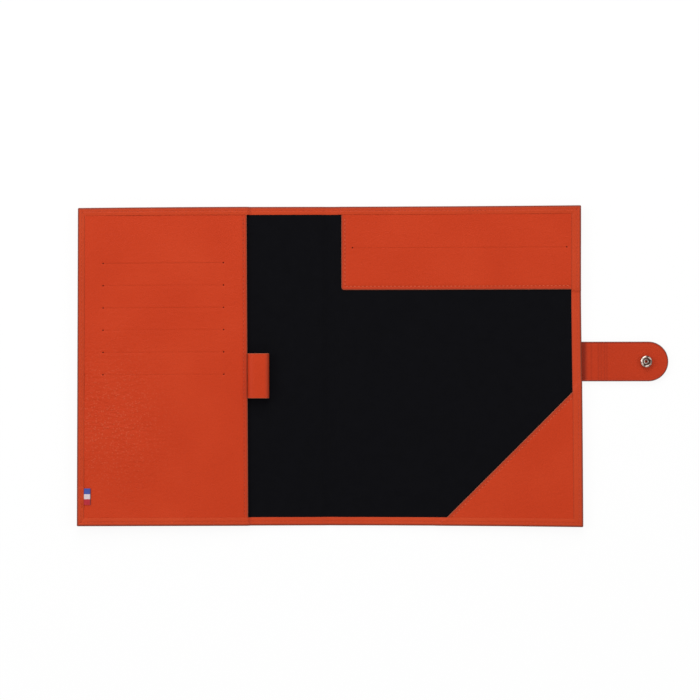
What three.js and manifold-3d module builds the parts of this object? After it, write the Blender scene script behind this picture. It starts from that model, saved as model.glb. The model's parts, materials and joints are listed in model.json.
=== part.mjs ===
// A leather padfolio for an A5 pad, lying open. Millimetres, +Z up, +X towards the closing strap.
// The origin is the middle of the spine's underside. Each half is modelled flat, with z = 0 on
// the outer face of its leather, and then turned a little about its fold line, because the snap's
// stud and the sewn end of the strap hold the halves off the table.
import * as THREE from "three";
import { mergeVertices } from "three/addons/utils/BufferGeometryUtils.js";
import Module from "manifold-3d";

const wasm = await Module();
wasm.setup();

// Cover
const coverHeight = 233;
const coverReach = 178; // fold line to fore edge
const spineWidth = 12;
const cornerRadius = 0.8;
const edgeRound = 1.6; // round of the turned edge
const foreHemFront = 5.2;
const foreHemBack = 7.2;
const topHem = 5.9;
const bottomHem = 6.2;

// Thicknesses
const coverLeather = 1.0;
const hemLeather = 0.8; // pared where it is turned over
const boardThickness = 1.2;
const liningCloth = 0.25;
const panelLeather = 0.9;
const pocketCloth = 0.15;
const ribbonCloth = 0.2;
const strapPly = 1.0;

// Clearances
const glueLine = 0.05;
const fitGap = 0.2; // edge of a layer to the turned leather round it
const foldGap = 0.05; // leather on each side of a fold line
const foldClearance = 0.35; // layers of a half to the layers of the spine when shut

// Card panel and the pockets behind it
const cardPanelWidth = 123.2; // fore edge to the panel's free edge
const slitCount = 6;
const slitPitch = 16.28;
const firstSlitDrop = 40.8; // below the head of the cover
const slitsFromEdge = 18.6; // in from the fore edge
const cardSlitLength = 87.5;
const slitWidth = 0.5;
const slitEndRadius = 0.55;
const pocketMargin = 2.5; // cloth past each end of its slit
const pocketAbove = 4;
const pocketDepth = 52;

// Pen loop
const penLoopWidth = 32.7;
const penLoopCentreY = -6.95;
const penLoopReach = 16.45; // past the edge of the card panel
const penLoopLeather = 0.8;
const penBore = 5.2;
const penLoopFlat = 4.75; // level stretch over the pen
const penLoopTail = 8; // length under the panel

// Ribbon tab
const ribbonWidth = 12.1;
const ribbonAboveFoot = 21.7;
const ribbonReach = 5.0; // past the edge of the hem
const ribbonTail = 3.6;

// Pad pocket and corner pocket
const padPocketFromFold = 2.5;
const padPocketDepth = 60.9; // below the head of the cover
const padPocketCorner = 2;
const padSlitDrop = 30.1;
const padSlitMargin = 8; // from the pocket's free edge
const padSlitFromFore = 10.5;
const cornerPocketLeg = 102.7; // along each outer edge, under the hem

// Strap
const strapWidth = 29;
const strapCentreY = 3.1;
const strapReach = 63.2; // past the fore edge
const strapSewn = 36; // under the back cover
const strapFoldOut = 1; // fore edge to the first bend

// Snap
const snapFromTip = 16.3;
const snapRadius = 4.3;
const socketHeight = 2.8;
const socketFloor = 0.4;
const socketMouth = 2.5;
const studPlate = 0.6;
const studHeight = 2.0; // nipple above its plate
const studRadius = 2.15;
const mateGap = 0.15;
const snapGap = 0.1; // between pieces that pass through each other
const springWire = 0.3;
const capRadius = 6.2;
const capHeight = 1.1;
const postRadius = 1.35;
const flareRadius = 2.0;
const flareHeight = 0.3;
const studPostRadius = 1.2;
const studFlangeRadius = 5;
const studFlange = 0.3;
const latheSides = 32;

const leatherFinish = new THREE.MeshStandardMaterial({ color: 0xc54123, roughness: 0.55 });
const strapFinish = new THREE.MeshStandardMaterial({ color: 0xbb3a20, roughness: 0.5 });
const liningFinish = new THREE.MeshStandardMaterial({ color: 0x121215, roughness: 0.9 });
const boardFinish = new THREE.MeshStandardMaterial({ color: 0x9b8a70, roughness: 0.95 });
const ribbonFinish = new THREE.MeshStandardMaterial({ color: 0xcbb5ba, roughness: 0.85 });
const nickelFinish = new THREE.MeshStandardMaterial({ color: 0xc9c7c2, roughness: 0.25, metalness: 1 });

// Levels above the outer face of a half
const halfHeight = coverHeight / 2;
const foldX = spineWidth / 2;
const foreX = foldX + coverReach;
const boardBase = coverLeather + glueLine;
const liningBase = boardBase + boardThickness + glueLine;
const layersBase = liningBase + liningCloth + glueLine;
const pocketStep = pocketCloth + glueLine;
const cardPanelBase = layersBase + slitCount * pocketStep;
const frontHemBase = cardPanelBase + panelLeather + glueLine;
const backHemBase = layersBase + panelLeather + glueLine;
const spineLiningBase = coverLeather + glueLine;
const spineHemBase = spineLiningBase + liningCloth + glueLine;
const layersSetBack = spineHemBase + hemLeather - coverLeather + foldClearance;
const layerInset = coverLeather + fitGap;

// Places worked out from the cover's edges
const panelEdgeX = cardPanelWidth - foreX;
const slitLeftX = slitsFromEdge - foreX;
const ribbonCentreY = ribbonAboveFoot - halfHeight;
const padPocketX = foldX + padPocketFromFold;
const padPocketY = halfHeight - padPocketDepth;
const padSlitX = padPocketX + padSlitMargin;
const padSlitLength = foreX - padSlitFromFore - padSlitX;
const padSlitY = halfHeight - padSlitDrop;
const cornerPocketX = foreX - layerInset - cornerPocketLeg;
const cornerPocketY = layerInset - halfHeight + cornerPocketLeg;

// Strap levels and bends
const strapInnerFace = -glueLine;
const innerPlyBase = strapInnerFace - strapPly;
const outerPlyBase = innerPlyBase - glueLine - strapPly;
const socketBase = strapInnerFace + glueLine;
const matedHeight = glueLine + studPlate + mateGap + socketHeight + glueLine;
const closedThickness = spineWidth + 2 * coverLeather;
const bridgeLength = glueLine + closedThickness + matedHeight;
const strapRootX = foreX + strapFoldOut;
const strapBendX = strapRootX + bridgeLength;
const snapX = foreX + strapReach - snapFromTip;
const studX = snapX - strapBendX - strapRootX;

// A closed three.js geometry as a manifold-3d solid.
function solid(geometry) {
  const bare = new THREE.BufferGeometry();
  const source = geometry.index ? geometry.toNonIndexed() : geometry;
  bare.setAttribute("position", source.getAttribute("position"));
  const merged = mergeVertices(bare, 1e-4);
  const corners = merged.index.array;
  const kept = [];
  for (let i = 0; i < corners.length; i += 3) {
    const [a, b, c] = corners.slice(i, i + 3);
    if (a !== b && b !== c && c !== a) {
      kept.push(a, b, c);
    }
  }
  const vertProperties = new Float32Array(merged.getAttribute("position").array);
  return new wasm.Manifold(new wasm.Mesh({ numProp: 3, vertProperties, triVerts: new Uint32Array(kept) }));
}

function mesh(name, body, material) {
  const { numProp, vertProperties, triVerts } = body.getMesh();
  const positions = new Float32Array((vertProperties.length / numProp) * 3);
  for (let i = 0; i * numProp < vertProperties.length; i++) {
    positions.set(vertProperties.subarray(i * numProp, i * numProp + 3), i * 3);
  }
  const geometry = new THREE.BufferGeometry();
  geometry.setAttribute("position", new THREE.BufferAttribute(positions, 3));
  geometry.setIndex(new THREE.BufferAttribute(new Uint32Array(triVerts), 1));
  geometry.computeVertexNormals();
  const made = new THREE.Mesh(geometry, material);
  made.name = name;
  return made;
}

function box([x0, x1], [y0, y1], [z0, z1]) {
  const geometry = new THREE.BoxGeometry(x1 - x0, y1 - y0, z1 - z0);
  geometry.translate((x0 + x1) / 2, (y0 + y1) / 2, (z0 + z1) / 2);
  return solid(geometry);
}

function extrude(shape, depth) {
  return new THREE.ExtrudeGeometry(shape, { depth, bevelEnabled: false, curveSegments: 3 });
}

// A flat outline in X and Y, from one level to another.
function plate(shape, [z0, z1]) {
  return solid(extrude(shape, z1 - z0).translate(0, 0, z0));
}

// A section in X and Z, run along Y.
function alongY(shape, [y0, y1]) {
  return solid(extrude(shape, y1 - y0).rotateX(Math.PI / 2).translate(0, y1, 0));
}

// A section in Y and Z, run along X.
function alongX(shape, [x0, x1]) {
  const turn = new THREE.Matrix4().makeBasis(
    new THREE.Vector3(0, 1, 0),
    new THREE.Vector3(0, 0, 1),
    new THREE.Vector3(1, 0, 0),
  );
  return solid(extrude(shape, x1 - x0).applyMatrix4(turn).translate(x0, 0, 0));
}

// A turned body about a line parallel to Z. The profile's points are radius and height.
function turned(profile, x, y, sides = latheSides) {
  const points = profile.map(([radius, height]) => new THREE.Vector2(radius, height));
  return solid(new THREE.LatheGeometry(points, sides).rotateX(Math.PI / 2).translate(x, y, 0));
}

function pin(x, y, radius, [z0, z1], sides = latheSides) {
  const geometry = new THREE.CylinderGeometry(radius, radius, z1 - z0, sides);
  return solid(geometry.rotateX(Math.PI / 2).translate(x, y, (z0 + z1) / 2));
}

// A rectangle whose corners are rounded from the lower left one on, anticlockwise.
function roundedRectangle([x0, x1], [y0, y1], [a, b, c, d]) {
  const shape = new THREE.Shape();
  shape.moveTo(x0 + a, y0);
  shape.lineTo(x1 - b, y0);
  if (b > 0) {
    shape.absarc(x1 - b, y0 + b, b, -Math.PI / 2, 0);
  }
  shape.lineTo(x1, y1 - c);
  if (c > 0) {
    shape.absarc(x1 - c, y1 - c, c, 0, Math.PI / 2);
  }
  shape.lineTo(x0 + d, y1);
  if (d > 0) {
    shape.absarc(x0 + d, y1 - d, d, Math.PI / 2, Math.PI);
  }
  shape.lineTo(x0, y0 + a);
  if (a > 0) {
    shape.absarc(x0 + a, y0 + a, a, Math.PI, 1.5 * Math.PI);
  }
  return shape;
}

function polygon(points) {
  return new THREE.Shape(points.map(([x, y]) => new THREE.Vector2(x, y)));
}

// The stretch of X from one distance past a half's fold line to another.
function across(side, near, far) {
  return side > 0 ? [foldX + near, foldX + far] : [-foldX - far, -foldX - near];
}

// A half's outline, drawn in from its three outer edges, with its fore corners rounded.
function halfOutline(side, near, inset) {
  const radius = Math.max(cornerRadius - inset, 0);
  const corners = side > 0 ? [0, radius, radius, 0] : [radius, 0, 0, radius];
  const y = [inset - halfHeight, halfHeight - inset];
  return roundedRectangle(across(side, near, coverReach - inset), y, corners);
}

function layer(side, base, thickness) {
  return plate(halfOutline(side, layersSetBack, layerInset), [base, base + thickness]);
}

// A half's outline with all its turned edges rounded, up to the level of its hem's face.
function roundedHalf(side, top) {
  const corners = side > 0 ? [0, edgeRound, edgeRound, 0] : [edgeRound, 0, 0, edgeRound];
  const foreSection = roundedRectangle(across(side, foldGap, coverReach), [0, top], corners);
  const rounds = [edgeRound, edgeRound, edgeRound, edgeRound];
  const endSection = roundedRectangle([-halfHeight, halfHeight], [0, top], rounds);
  return alongY(foreSection, [-halfHeight, halfHeight])
    .intersect(alongX(endSection, across(side, foldGap, coverReach)))
    .intersect(plate(halfOutline(side, foldGap, 0), [0, top]));
}

// Where no panel lies under the hem, as stretches of X and Y that keep a distance from the panels.
function bareOfPanels(side, distance) {
  const everyY = [-coverHeight, coverHeight];
  if (side < 0) {
    return [[[panelEdgeX + distance, 0], everyY]];
  }
  const underPad = padPocketY - distance;
  return [
    [[0, padPocketX - distance], everyY],
    [[0, cornerPocketX - distance], [-coverHeight, underPad]],
    [[0, 2 * foreX], [cornerPocketY + distance, underPad]],
  ];
}

// The leather of one half: its sheet, the turned edges and the hem that holds the layers down.
// Past the edges of the panels the hem comes down to the lining.
function halfLeather(side, foreHem, hemBase) {
  const top = hemBase + hemLeather;
  let high = roundedHalf(side, top);
  for (const [x, y] of bareOfPanels(side, fitGap + hemLeather)) {
    high = high.subtract(box(x, y, [coverLeather, 2 * top]));
  }
  let cavity = plate(halfOutline(side, 0, coverLeather), [coverLeather, hemBase]);
  for (const [x, y] of bareOfPanels(side, fitGap)) {
    cavity = cavity.subtract(box(x, y, [layersBase, 2 * top]));
  }
  const atFold = box(across(side, -1, layersSetBack), [-coverHeight, coverHeight], [coverLeather, 2 * top]);
  const y = [bottomHem - halfHeight, halfHeight - topHem];
  const opening = box(across(side, 0, coverReach - foreHem), y, [coverLeather, 2 * top]);
  const whole = high.add(roundedHalf(side, layersBase + hemLeather));
  return whole.subtract(atFold).subtract(cavity).subtract(opening);
}

// The leather of the spine, turned in at its head and foot.
function spineLeather() {
  const top = spineHemBase + hemLeather;
  const round = edgeRound / 2;
  const section = roundedRectangle([-halfHeight, halfHeight], [0, top], [round, round, round, round]);
  const x = [-foldX, foldX];
  const cavityY = [coverLeather - halfHeight, halfHeight - coverLeather];
  const openingY = [bottomHem - halfHeight, halfHeight - topHem];
  return alongX(section, x)
    .subtract(box([-spineWidth, spineWidth], cavityY, [coverLeather, spineHemBase]))
    .subtract(box([-spineWidth, spineWidth], openingY, [coverLeather, 2 * top]));
}

// A slit with a small punched hole at each end, right through a panel.
function slit(x, y, length, levels) {
  const ends = [x, x + length];
  const cut = box(ends, [y - slitWidth / 2, y + slitWidth / 2], levels);
  return ends.reduce((all, end) => all.add(pin(end, y, slitEndRadius, levels, 8)), cut);
}

function slitY(index) {
  return halfHeight - firstSlitDrop - index * slitPitch;
}

function cardPanel() {
  const inset = layerInset;
  const radius = Math.max(cornerRadius - inset, 0);
  const x = [inset - foreX, panelEdgeX];
  const outline = roundedRectangle(x, [inset - halfHeight, halfHeight - inset], [radius, 0, 0, radius]);
  let panel = plate(outline, [cardPanelBase, cardPanelBase + panelLeather]);
  for (let i = 0; i < slitCount; i++) {
    panel = panel.subtract(slit(slitLeftX, slitY(i), cardSlitLength, [0, 2 * frontHemBase]));
  }
  return panel;
}

// The cloth behind slit number index. Each one lies over the one before it.
function cardPocket(index) {
  const base = layersBase + index * pocketStep;
  const x = [slitLeftX - pocketMargin, slitLeftX + cardSlitLength + pocketMargin];
  return box(x, [slitY(index) - pocketDepth, slitY(index) + pocketAbove], [base, base + pocketCloth]);
}

// A strip of leather bent back on itself over the pen. Its pared tails lie under the card panel.
function penLoop() {
  const floor = layersBase;
  const tail = (slitCount * pocketStep - 2 * glueLine) / 2;
  const ceiling = floor + 2 * penLoopLeather + penBore;
  const outer = (ceiling - floor) / 2;
  const inner = penBore / 2;
  const endX = panelEdgeX + penLoopReach - outer;
  const crestX = endX - penLoopFlat;
  const riseX = panelEdgeX + fitGap;
  const tailX = panelEdgeX - penLoopTail;
  const upper = floor + tail + glueLine;
  const midX = (riseX + crestX) / 2;
  const shape = new THREE.Shape();
  shape.moveTo(tailX, floor);
  shape.lineTo(endX, floor);
  shape.absarc(endX, floor + outer, outer, -Math.PI / 2, Math.PI / 2);
  shape.lineTo(crestX, ceiling);
  shape.bezierCurveTo(midX, ceiling, midX, upper + tail, riseX, upper + tail);
  shape.lineTo(tailX, upper + tail);
  shape.lineTo(tailX, upper);
  shape.lineTo(riseX + penLoopLeather, upper);
  const within = midX + penLoopLeather;
  shape.bezierCurveTo(within, upper, midX, ceiling - penLoopLeather, crestX, ceiling - penLoopLeather);
  shape.lineTo(endX, ceiling - penLoopLeather);
  shape.absarc(endX, floor + outer, inner, Math.PI / 2, -Math.PI / 2, true);
  shape.lineTo(crestX, floor + penLoopLeather);
  shape.lineTo(midX, floor + tail);
  shape.lineTo(tailX, floor + tail);
  return alongY(shape, [penLoopCentreY - penLoopWidth / 2, penLoopCentreY + penLoopWidth / 2]);
}

// A short ribbon folded in two, its cut ends held under the hem.
function ribbonSection(grow) {
  const foot = cardPanelBase + panelLeather + glueLine - grow;
  const head = foot + 2 * ribbonCloth + glueLine + 2 * grow;
  const hemX = foreHemFront - foreX;
  return { foot, head, tail: hemX - ribbonTail - grow, hemX };
}

function ribbonTab() {
  const { foot, head, tail, hemX } = ribbonSection(0);
  const end = hemX + ribbonReach;
  const round = (head - foot) / 2;
  const y = [ribbonCentreY - ribbonWidth / 2, ribbonCentreY + ribbonWidth / 2];
  const whole = alongY(roundedRectangle([tail, end], [foot, head], [0, round, round, 0]), y);
  const between = [foot + ribbonCloth, head - ribbonCloth];
  return whole.subtract(box([tail - 1, end - round], [y[0] - 1, y[1] + 1], between));
}

function ribbonSeat() {
  const { foot, head, tail, hemX } = ribbonSection(glueLine);
  const half = ribbonWidth / 2 + fitGap;
  return box([tail, hemX + 1], [ribbonCentreY - half, ribbonCentreY + half], [foot, head]);
}

function padPocket() {
  const radius = Math.max(cornerRadius - layerInset, 0);
  const x = [padPocketX, foreX - layerInset];
  const outline = roundedRectangle(x, [padPocketY, halfHeight - layerInset], [padPocketCorner, 0, radius, 0]);
  return plate(outline, [layersBase, layersBase + panelLeather])
    .subtract(slit(padSlitX, padSlitY, padSlitLength, [0, 2 * backHemBase]));
}

function cornerPocket() {
  const right = foreX - layerInset;
  const foot = layerInset - halfHeight;
  const outline = polygon([
    [cornerPocketX, foot],
    [right, foot],
    [right, cornerPocketY],
  ]);
  const inOutline = plate(halfOutline(1, layersSetBack, layerInset), [0, 2 * backHemBase]);
  return plate(outline, [layersBase, layersBase + panelLeather]).intersect(inOutline);
}

// One ply of the strap between two places along it. The last stretch has the round end.
function strapPlyPiece(x, base, roundEnd = false) {
  const radius = roundEnd ? strapWidth / 2 : 0;
  const y = [strapCentreY - strapWidth / 2, strapCentreY + strapWidth / 2];
  const shape = new THREE.Shape();
  shape.moveTo(x[0], y[0]);
  shape.lineTo(x[1] - radius, y[0]);
  if (roundEnd) {
    shape.absarc(x[1] - radius, strapCentreY, radius, -Math.PI / 2, Math.PI / 2);
  } else {
    shape.lineTo(x[1], y[1]);
  }
  shape.lineTo(x[0], y[1]);
  const options = { depth: strapPly, bevelEnabled: false, curveSegments: 14 };
  return solid(new THREE.ExtrudeGeometry(shape, options).translate(0, 0, base));
}

const snapHole = pin(snapX, strapCentreY, postRadius + snapGap, [2 * outerPlyBase, 1], 16);

// The socket that the stud clicks into, with a groove for its spring.
function snapSocket() {
  const z = socketBase;
  const top = z + socketHeight;
  const floor = z + socketFloor;
  const groove = socketMouth + 2 * springWire + snapGap;
  const springZ = z + socketHeight / 2;
  const profile = [
    [postRadius + snapGap, z],
    [snapRadius - 0.5, z],
    [snapRadius, z + 0.4],
    [snapRadius, top - 0.5],
    [snapRadius - 0.15, top - 0.15],
    [snapRadius - 0.5, top],
    [socketMouth + 0.9, top],
    [socketMouth + 0.3, top - 0.2],
    [socketMouth, top - 0.5],
    [socketMouth, springZ + springWire + snapGap],
    [groove, springZ + springWire + snapGap],
    [groove, springZ - springWire - snapGap],
    [socketMouth + 0.3, springZ - springWire - snapGap],
    [socketMouth + 0.3, floor],
    [postRadius + snapGap, floor],
    [postRadius + snapGap, z],
  ];
  return turned(profile, snapX, strapCentreY);
}

// The wire ring of the socket: round, with a gap so that it can spread.
class SpringPath extends THREE.Curve {
  getPoint(t, target = new THREE.Vector3()) {
    const angle = THREE.MathUtils.degToRad(20 + 320 * t);
    const radius = socketMouth - snapGap / 2 + springWire;
    return target.set(radius * Math.cos(angle), radius * Math.sin(angle), 0);
  }
}

function snapSpring() {
  const section = new THREE.Shape();
  section.absarc(0, 0, springWire, 0, 2 * Math.PI);
  const options = { steps: 28, extrudePath: new SpringPath(), curveSegments: 3 };
  const ring = new THREE.ExtrudeGeometry(section, options);
  return solid(ring.translate(snapX, strapCentreY, socketBase + socketHeight / 2));
}

// The domed cap on the strap's outer face and its hollow post, flared over the socket's floor.
function snapCap() {
  const seat = outerPlyBase - glueLine;
  const flare = socketBase + socketFloor + glueLine;
  const bore = postRadius - 0.5;
  const profile = [[0, seat - capHeight]];
  for (let i = 1; i <= 6; i++) {
    const share = i / 6;
    const radius = capRadius * Math.sin((share * Math.PI) / 2);
    const drop = (capHeight - 0.25) * Math.cos((share * Math.PI) / 2);
    profile.push([radius, seat - 0.25 - drop]);
  }
  profile.push(
    [capRadius, seat],
    [postRadius, seat],
    [postRadius, flare],
    [flareRadius, flare],
    [flareRadius, flare + flareHeight / 2],
    [postRadius, flare + flareHeight],
    [bore, flare + flareHeight],
    [bore, innerPlyBase],
    [0, innerPlyBase],
  );
  return turned(profile, snapX, strapCentreY);
}

// The stud on the outer face of the front cover. It is hollow for its rivet.
function snapStud() {
  const plateBottom = -glueLine - studPlate;
  const tip = plateBottom - studHeight;
  const bore = studPostRadius + snapGap;
  const profile = [
    [0, tip],
    [studRadius - 0.55, tip],
    [studRadius, tip + 0.3],
    [studRadius, tip + 0.7],
    [studRadius - 0.3, tip + 1.15],
    [studRadius - 0.3, plateBottom],
    [snapRadius - 0.3, plateBottom],
    [snapRadius, plateBottom + 0.15],
    [snapRadius, -glueLine],
    [bore, -glueLine],
    [bore, tip + 0.4],
    [0, tip + 0.4],
  ];
  return turned(profile, studX, strapCentreY);
}

// The rivet that holds the stud. Its flange lies on the leather, in a hole of the board.
function studPost() {
  const tip = -glueLine - studPlate - studHeight + 0.4 + snapGap;
  const profile = [
    [0, tip],
    [studPostRadius, tip],
    [studPostRadius, boardBase],
    [studFlangeRadius, boardBase],
    [studFlangeRadius, boardBase + studFlange],
    [0, boardBase + studFlange],
  ];
  return turned(profile, studX, strapCentreY);
}

// The tilt of a half that stands on something of a given depth at a given distance from its fold.
function restTilt(distance, depth) {
  const height = depth + coverLeather;
  return Math.atan2(height, distance) - Math.asin(coverLeather / Math.hypot(distance, height));
}

// A group turned about a line along Y on the inner face of the leather.
function turnedHalf(x, angle, meshes) {
  const hinge = new THREE.Group();
  hinge.position.set(x, 0, coverLeather);
  hinge.rotation.y = angle;
  const flat = new THREE.Group();
  flat.position.set(-x, 0, -coverLeather);
  flat.add(...meshes);
  hinge.add(flat);
  return hinge;
}

const studTipInner = -studX - (studRadius - 0.55) - foldX;
const frontTilt = restTilt(studTipInner, glueLine + studPlate + studHeight);
const backTilt = restTilt(coverReach - strapSewn, -outerPlyBase);

const studHole = pin(studX, strapCentreY, studPostRadius + snapGap, [-1, coverLeather + 1], 16);
const flangeHole = pin(studX, strapCentreY, studFlangeRadius + 5 * fitGap, [0, layersBase], 24);

const front = [
  mesh(
    "front_cover_leather",
    halfLeather(-1, foreHemFront, frontHemBase).subtract(studHole).subtract(ribbonSeat()),
    leatherFinish,
  ),
  mesh("front_board", layer(-1, boardBase, boardThickness).subtract(flangeHole), boardFinish),
  mesh("front_lining", layer(-1, liningBase, liningCloth), liningFinish),
  mesh("card_panel", cardPanel(), leatherFinish),
  mesh("pen_loop", penLoop(), leatherFinish),
  mesh("ribbon_tab", ribbonTab(), ribbonFinish),
  mesh("snap_stud", snapStud(), nickelFinish),
  mesh("stud_post", studPost(), nickelFinish),
];
for (let i = 0; i < slitCount; i++) {
  front.push(mesh(`card_pocket_${i + 1}`, cardPocket(i), liningFinish));
}

const spineLining = box(
  [-foldX, foldX],
  [layerInset - halfHeight, halfHeight - layerInset],
  [spineLiningBase, spineLiningBase + liningCloth],
);
const spine = [
  mesh("spine_leather", spineLeather(), leatherFinish),
  mesh("spine_lining", spineLining, liningFinish),
];

const sewnX = [foreX - strapSewn, strapRootX - foldGap];
const bridgeX = [strapRootX + foldGap, strapBendX - foldGap];
const tipX = [strapBendX + foldGap, foreX + strapReach];
const back = [
  mesh("back_cover_leather", halfLeather(1, foreHemBack, backHemBase), leatherFinish),
  mesh("back_board", layer(1, boardBase, boardThickness), boardFinish),
  mesh("back_lining", layer(1, liningBase, liningCloth), liningFinish),
  mesh("pad_pocket", padPocket(), leatherFinish),
  mesh("corner_pocket", cornerPocket(), leatherFinish),
  mesh("strap_base_inner", strapPlyPiece(sewnX, innerPlyBase), strapFinish),
  mesh("strap_base_outer", strapPlyPiece(sewnX, outerPlyBase), strapFinish),
  mesh("strap_bridge_inner", strapPlyPiece(bridgeX, innerPlyBase), strapFinish),
  mesh("strap_bridge_outer", strapPlyPiece(bridgeX, outerPlyBase), strapFinish),
  mesh("strap_tip_inner", strapPlyPiece(tipX, innerPlyBase, true).subtract(snapHole), strapFinish),
  mesh("strap_tip_outer", strapPlyPiece(tipX, outerPlyBase, true).subtract(snapHole), strapFinish),
  mesh("snap_socket", snapSocket(), nickelFinish),
  mesh("snap_spring", snapSpring(), nickelFinish),
  mesh("snap_cap", snapCap(), nickelFinish),
];

const padfolio = new THREE.Group();
padfolio.add(turnedHalf(-foldX, frontTilt, front));
padfolio.add(...spine);
padfolio.add(turnedHalf(foldX, -backTilt, back));

export default padfolio;
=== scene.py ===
"""Looks of the leather padfolio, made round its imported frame."""
import json
import math

import bmesh
import bpy
import numpy as np
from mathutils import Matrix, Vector


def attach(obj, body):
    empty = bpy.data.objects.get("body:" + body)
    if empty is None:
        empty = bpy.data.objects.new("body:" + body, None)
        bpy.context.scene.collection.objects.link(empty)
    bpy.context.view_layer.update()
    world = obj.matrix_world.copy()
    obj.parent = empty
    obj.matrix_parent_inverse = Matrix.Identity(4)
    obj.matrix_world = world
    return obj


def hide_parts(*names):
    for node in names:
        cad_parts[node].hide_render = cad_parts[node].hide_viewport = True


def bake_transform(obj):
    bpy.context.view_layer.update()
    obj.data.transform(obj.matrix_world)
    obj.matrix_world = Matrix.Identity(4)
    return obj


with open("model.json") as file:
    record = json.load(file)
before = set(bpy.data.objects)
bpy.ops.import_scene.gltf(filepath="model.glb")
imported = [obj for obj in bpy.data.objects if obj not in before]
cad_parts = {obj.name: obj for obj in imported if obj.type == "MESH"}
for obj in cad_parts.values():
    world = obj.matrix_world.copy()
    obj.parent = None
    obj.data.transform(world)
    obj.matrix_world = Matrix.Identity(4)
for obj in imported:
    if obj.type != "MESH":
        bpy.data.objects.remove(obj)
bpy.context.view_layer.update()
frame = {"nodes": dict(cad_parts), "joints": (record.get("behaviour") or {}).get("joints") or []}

# Sizes in millimetres, of the folder laid flat with z = 0 on its outer leather
MM = 0.001
HALF_HEIGHT = 116.5
SPINE_HALF = 6.0
FORE_X = 184.0
FOLD_LEVEL = 1.0
FOLD_REACH = 3.0
LEATHER = 1.0
HEM = 0.45
PANEL = 0.9
EDGE_ROUND = 1.6
CORNER = 0.8
TOP_HEM = 5.9
BOTTOM_HEM = 6.2
FORE_HEM = {-1: 5.2, 1: 7.2}
LAYER_INSET = 1.2
SEAM_GAP = 0.05

# How far the leather is drawn down on each side of a seam, and how far in from a corner the mitre shows
SEAM_REACH = 0.9
MITRE_REACH = 9

# Levels of the layers
SPINE_TOP = 1.35
LINING_TOP = 2.6
CARD_LAYERS = 1.2
CARD_BASE = LINING_TOP + CARD_LAYERS
LINING_CLOTH = 0.25

# Panels and pockets
PANEL_EDGE_X = -60.8
PAD_X, PAD_Y = 8.5, 55.6
PAD_CORNER = 2.0
CORNER_LINE = 195.4
SLIT_LEFT = -165.4
SLIT_LENGTH = 87.5
SLIT_TOP = 75.7
SLIT_PITCH = 16.28
SLIT_GAPS = (0.07, 0.03, 0.05, 0.02, 0.03, 0.03)
HOLE = 0.5

# The pad slit as (left end, length, place along y, gap)
PAD_SLIT = (16.5, 157.0, 86.4, 0.05)

# Cut edges: their round from wear, how far in the cut itself shows, and how far in the leather is darker
# towards them
CUT_ROUND = 0.5
CUT_SHOWS = 0.3
DARKER_REACH = 1.9

# The hem's face as it comes to its own edge, as (distance back from the edge, drop), and then the edge
HEM_FALL = ((2.0, 0.02), (1.6, 0.06), (1.2, 0.11), (0.8, 0.16), (0.4, 0.21), (0.15, 0.25))
HEM_LIP = ((0.02, 0.3), (0.0, 0.35), (0.0, HEM - 0.02))

# Thread, and how deep its middle lies below each leather's face, or above the underside
STITCH_PITCH = 2.94
STITCH_LENGTH = 2.55
HEM_SEAM = 3.0
PANEL_SEAM = 2.6
THREAD = 0.28
FINE_THREAD = 0.22
SUNK_IN_HEM, SUNK_IN_CARD_PANEL, SUNK_IN_POCKET = 0.26, 0.14, 0.12
ABOVE_OUTSIDE, ABOVE_STRAP_FLOOR = 0.31, 0.24

# Pen loop and ribbon
PEN_LOOP_Y = -6.95
PEN_LOOP_HALF = 16.35
PEN_LOOP_REACH = 16.45
PEN_LEATHER = 0.8
PEN_TAIL = 0.55
PEN_FLAT = 4.75
PEN_BORE = 5.2
RIBBON_Y = -94.8
RIBBON_HALF = 6.05
RIBBON = 0.15
RIBBON_TAIL, RIBBON_SHOWN = 3.4, 5.0
RIBBON_SLACK = 0.025

# Strap and snap
STRAP_Y = 3.1
STRAP_HALF = 14.5
STRAP_SEWN_X, STRAP_TIP_X = 148.0, 247.2
STRAP_BENDS = (185.0, 202.7)
STRAP_TOP = -0.05
STRAP_FLOOR = -2.1
STRAP_ROUND = 0.5
STRAP_SEAM = 3.0
STRAP_SEAM_END = 181.0
SNAP_X = 230.9
STUD_X = -156.8

# Creases that shutting has left across the strap, as (place, depth)
CREASES = ((196.2, 0.16), (198.3, 0.26), (200.6, 0.22), (202.4, 0.12), (191.0, 0.08))

# Snap: radii and levels of its turned pieces
SOCKET_RADIUS, SOCKET_MOUTH, SOCKET_BORE = 4.3, 2.5, 1.45
SOCKET_HIGH, SOCKET_FLOOR = 2.8, 0.4
CAP_RADIUS, CAP_DOME = 6.2, 0.8
STUD_PLATE, STUD_HIGH = -0.65, 2.0

# How far the hand-sewn cover lies out of square at each corner, as (x, y) by side and end
OUT_OF_SQUARE = {(-1, 1): (0.4, -1.0), (-1, -1): (-0.7, 0.0), (1, 1): (-0.4, 0.7), (1, -1): (0.8, -1.26)}

# How far the right edge is drawn in, with the middle and the spread of it along y
DRAWN_IN = (0.55, 50.0, 55.0)
PANEL_LEAN = 1.0

# The angle at which each half rises from the table, from the travel that its fold has left
travel = {joint["name"]: joint["range_deg"][1] for joint in frame["joints"]}
TILT = {-1: math.radians(90 - travel["front_fold"]), 1: math.radians(90 - travel["spine_fold"])}


def smooth(t):
    """An even start and stop between 0 and 1."""
    t = np.clip(t, 0, 1)
    return t * t * (3 - 2 * t)


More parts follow.
